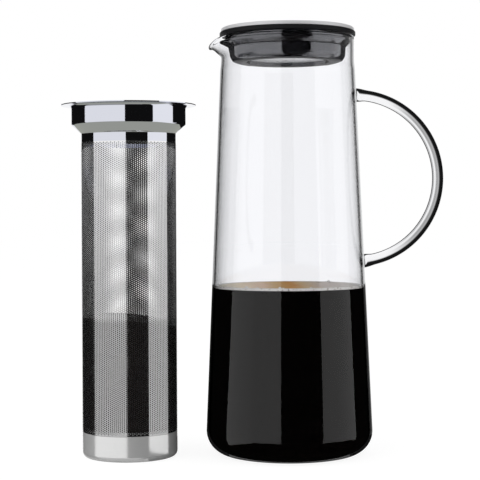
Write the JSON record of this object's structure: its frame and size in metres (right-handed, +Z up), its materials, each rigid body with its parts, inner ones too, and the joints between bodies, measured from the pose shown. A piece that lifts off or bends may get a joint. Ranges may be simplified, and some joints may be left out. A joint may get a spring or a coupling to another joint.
{
  "type": "cold brew coffee maker",
  "caption": "Tall conical glass jug with a glass ring handle, a pouring spout and a plug-in lid with a steel cap, part filled with coffee, and a tall perforated steel filter beside it.",
  "frame": {"origin": "centre of the jug's flat foot, on the table", "axes": "+Z up along the jug's axis; +X from the jug's axis to the handle, so the pouring spout and the filter are on the -X side"},
  "size_m": [0.2473, 0.1076, 0.2759],
  "materials": {
    "clear_glass": "clear fire-polished borosilicate glass",
    "coffee": "still black coffee",
    "cap_steel": "fine brushed stainless steel",
    "bonding_pad": "foam bonding pad",
    "black_plastic": "satin-gloss moulded black plastic",
    "black_silicone": "matt moulded silicone",
    "polished_steel": "mirror-polished stainless steel",
    "perforated_steel": "polished stainless sheet, finely perforated",
    "satin_steel": "satin stainless steel",
    "coffee_grounds": "wet coffee grounds"
  },
  "bodies": {
    "jug": {"jug_body": "clear_glass", "jug_handle": "clear_glass", "coffee": "coffee"},
    "lid": {"lid_cap": "cap_steel", "lid_cap_pad": "bonding_pad", "lid_plate": "black_plastic", "lid_plug": "black_plastic", "lid_seal": "black_silicone"},
    "filter": {"filter_rim": "polished_steel", "filter_tube": "perforated_steel", "filter_base": "satin_steel", "coffee_grounds": "coffee_grounds"}
  },
  "joints": [
    {"name": "lid_lift", "type": "slide", "parent": "jug", "child": "lid", "axis": [0, 0, 1], "range_m": [0, 0.06]},
    {"name": "filter_lift", "type": "slide", "parent": "jug", "child": "filter", "axis": [0, 0, 1], "range_m": [0, 0.28]}
  ]
}
